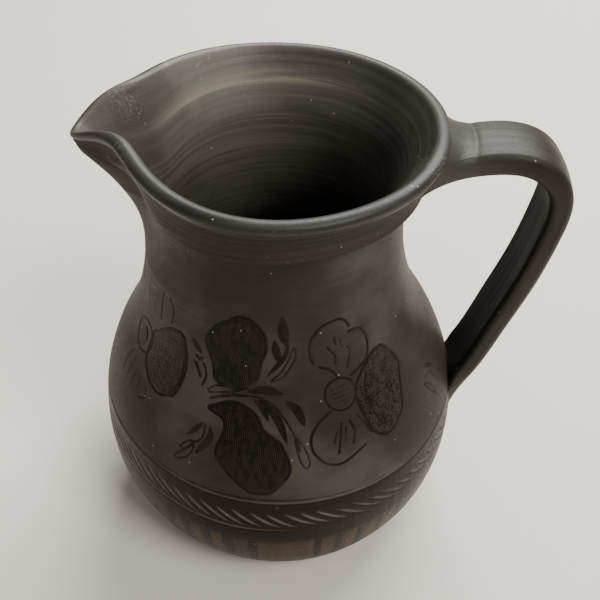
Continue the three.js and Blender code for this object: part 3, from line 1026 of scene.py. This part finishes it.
def strap_places(length, offsets):
    """Places on the strap, as (distance from the axis, across, height), at lengths along it."""
    middle, ahead, behind = [at_run(length + step, strap_run, strap_spine) for step in (0, 0.8, -0.8)]
    along = unit(ahead - behind)
    wave = 0.35 * np.sin(length / 19) + 0.25 * np.sin(length / 7.3 + 1)
    across = offsets[..., 0] * (1 + 0.012 * np.sin(length / 27)) + 0.4 * np.sin(length / 41)
    outward = offsets[..., 1] + 0.12 * wave
    return np.stack([
        middle[..., 0] - along[..., 1] * outward, across, middle[..., 1] + along[..., 0] * outward,
    ], axis=-1)


def placed(local):
    """Turns (distance, across, height) in the handle's upright plane into X, Y and Z."""
    side = np.radians(-HANDLE_TURN)
    out, across = local[..., 0], local[..., 1]
    return np.stack([
        out * np.cos(side) - across * np.sin(side), out * np.sin(side) + across * np.cos(side), local[..., 2],
    ], axis=-1)


def on_pot(degrees, level, first, last):
    """Places and normals on the pot's outside, by angle round it and height, between two rows."""
    handle_column = int(round(HANDLE_SIDE * PER_DEGREE))
    row = np.interp(level, height[first:last, handle_column], np.arange(first, last))
    column = (degrees % 360) * PER_DEGREE
    i, j = row.astype(int), column.astype(int)
    down, right = (row - i)[:, None], (column - j)[:, None]
    found = []
    for field in (grid, normals):
        corners = [field[i + a, (j + b) % COLUMNS] for a in (0, 1) for b in (0, 1)]
        lower = corners[0] * (1 - right) + corners[1] * right
        upper = corners[2] * (1 - right) + corners[3] * right
        found.append(lower * (1 - down) + upper * down)
    return found


def join_grid(shape, seam_share, steps):
    """Rows from the pot's surface to the seam with the strap, curving off the surface in a fillet."""
    across, outward = section_out[:, 0], section_out[:, 1]
    share = section[:, 0] / STRAP_HALF_WIDTH
    side = shape["near_height"] + (shape["far_height"] - shape["near_height"]) * (0.5 + 0.5 * share)
    end = np.where(outward > 0, shape["out_height"], shape["under_height"])
    level = side + (end - side) * abs(outward) ** 1.5 * (1 - 0.3 * share**2)
    widen = np.where(section[:, 0] < 0, shape["near_widen"], shape["far_widen"])
    own = np.degrees(section[:, 0] / shape["radius"]) * widen
    flare = np.where(across < 0, -shape["near_flare"], shape["far_flare"]) * abs(across) ** 1.5
    middle = HANDLE_SIDE - HANDLE_TURN
    root, facing = on_pot(middle + own + flare, level, *shape["rows"])
    goal, _ = on_pot(middle + own * 0.7, shape["centre_height"] + 0 * own, *shape["rows"])
    root = root - facing * 0.3
    leave = goal - root
    leave -= facing * (leave * facing).sum(axis=1, keepdims=True)
    leave /= np.maximum(np.linalg.norm(leave, axis=1, keepdims=True), 1e-6)
    seam = seam_share * strap_run[-1] + 0 * across
    arrive = placed(strap_places(seam, section))
    ahead = arrive - placed(strap_places(seam - shape["way"], section))
    gap = np.linalg.norm(arrive - root, axis=1, keepdims=True)
    t = np.linspace(0, 1, steps)[:, None, None]
    places = (
        (2 * t**3 - 3 * t**2 + 1) * root
        + (t**3 - 2 * t**2 + t) * shape["leave"] * gap * leave
        + (3 * t**2 - 2 * t**3) * arrive
        + (t**3 - t**2) * shape["arrive"] * gap * ahead
    )
    return places, seam - shape["way"] * gap[:, 0] * (1 - t[..., 0])


def strap_piece(name, node, whole, length, shown):
    """A closed bar from a grid of rows along the strap and columns round its section."""
    count, ring = shown.stop - shown.start, len(section)
    own = np.tile(section[::-1], (count, 1, 1))
    strap = np.concatenate([length[shown][..., None], own], axis=-1).reshape(-1, 3) * MM
    add_piece(name, node, whole[shown], bar_faces(count, ring),
              normals_of(whole)[shown], {"strap": strap}, handle_material)


def add_handle():
    upper, upper_length = join_grid(JOINS["upper"], UPPER_SEAM, UPPER_ROWS)
    lower, lower_length = join_grid(JOINS["lower"], LOWER_SEAM, LOWER_ROWS)
    out = np.hypot(upper[..., 0], upper[..., 1])
    upper[..., 2] -= CREASE_DEPTH * bell(out - CREASE_AT, 1.3) * eased(section_out[:, 1], 0.2, 1)
    shares = np.linspace(UPPER_SEAM, LOWER_SEAM, STRAP_ROWS)[1:-1, None]
    between = shares * strap_run[-1] + 0 * section[:, 0]
    middle = placed(strap_places(between, np.tile(section, (len(between), 1, 1))))
    whole = np.vstack([upper, middle, lower[::-1]])[:, ::-1]
    length = np.vstack([upper_length, between, lower_length[::-1]])[:, ::-1]
    top, bottom = len(upper), len(upper) + len(middle)
    strap_piece("upper_join_clay", "upper_handle_join", whole, length, slice(0, top))
    strap_piece("handle_strap_clay", "handle_strap", whole, length, slice(top - 1, bottom + 1))
    strap_piece("lower_join_clay", "lower_handle_join", whole, length, slice(bottom, len(whole)))


# ---- floor, light and camera; lights are placed in metres ----

CAMERA_PLACE = (0, -240.4, 340.5)
CAMERA_DOWN = 43.858
CAMERA_YAW = 2.419
CAMERA_ROLL = -0.287
LENS = 45


def add_camera():
    camera = bpy.data.objects.new("camera", bpy.data.cameras.new("camera"))
    bpy.context.scene.collection.objects.link(camera)
    camera.data.lens = LENS
    camera.data.sensor_width = 36
    camera.data.clip_start = 0.01
    matrix = Matrix.Translation(Vector(CAMERA_PLACE) * MM)
    for degrees, axis in ((-CAMERA_YAW, "Z"), (90 - CAMERA_DOWN, "X"), (CAMERA_ROLL, "Z")):
        matrix = matrix @ Matrix.Rotation(np.radians(degrees), 4, axis)
    camera.matrix_world = matrix
    bpy.context.scene.camera = camera


def add_floor():
    mesh = bpy.data.meshes.new("floor")
    half = 2.5
    corners = [(-half, -half, 0), (half, -half, 0), (half, half, 0), (-half, half, 0)]
    mesh.from_pydata(corners, [], [(0, 1, 2, 3)])
    material = bpy.data.materials.new("pale_floor")
    material.use_nodes = True
    shader = material.node_tree.nodes["Principled BSDF"]
    shader.inputs["Base Color"].default_value = (0.76, 0.72, 0.66, 1)
    shader.inputs["Roughness"].default_value = 0.8
    shader.inputs["Specular IOR Level"].default_value = 0.2
    mesh.materials.append(material)
    floor = bpy.data.objects.new("floor", mesh)
    bpy.context.scene.collection.objects.link(floor)


def add_light(name, place, target, size, watts, colour):
    data = bpy.data.lights.new(name, "AREA")
    data.shape = "RECTANGLE"
    data.size, data.size_y = size
    data.energy = watts
    data.color = colour
    light = bpy.data.objects.new(name, data)
    light.location = place
    light.rotation_euler = (Vector(target) - Vector(place)).to_track_quat("-Z", "Y").to_euler()
    bpy.context.scene.collection.objects.link(light)


def add_world():
    world = bpy.data.worlds.new("room")
    world.use_nodes = True
    sky = world.node_tree.nodes["Background"]
    sky.inputs["Color"].default_value = (1.0, 0.97, 0.93, 1)
    sky.inputs["Strength"].default_value = 0.3
    bpy.context.scene.world = world


add_wall()
add_mouth()
add_base()
add_handle()
add_camera()
add_floor()
add_world()
add_light("window", (0.5, 0.9, 1.25), (0.02, 0, 0.15), (1.3, 0.6), 50, (1.0, 0.985, 0.96))
add_light("right_softbox", (0.75, -0.75, 1.35), (0, 0, 0.12), (0.6, 0.6), 20, (1.0, 0.97, 0.93))
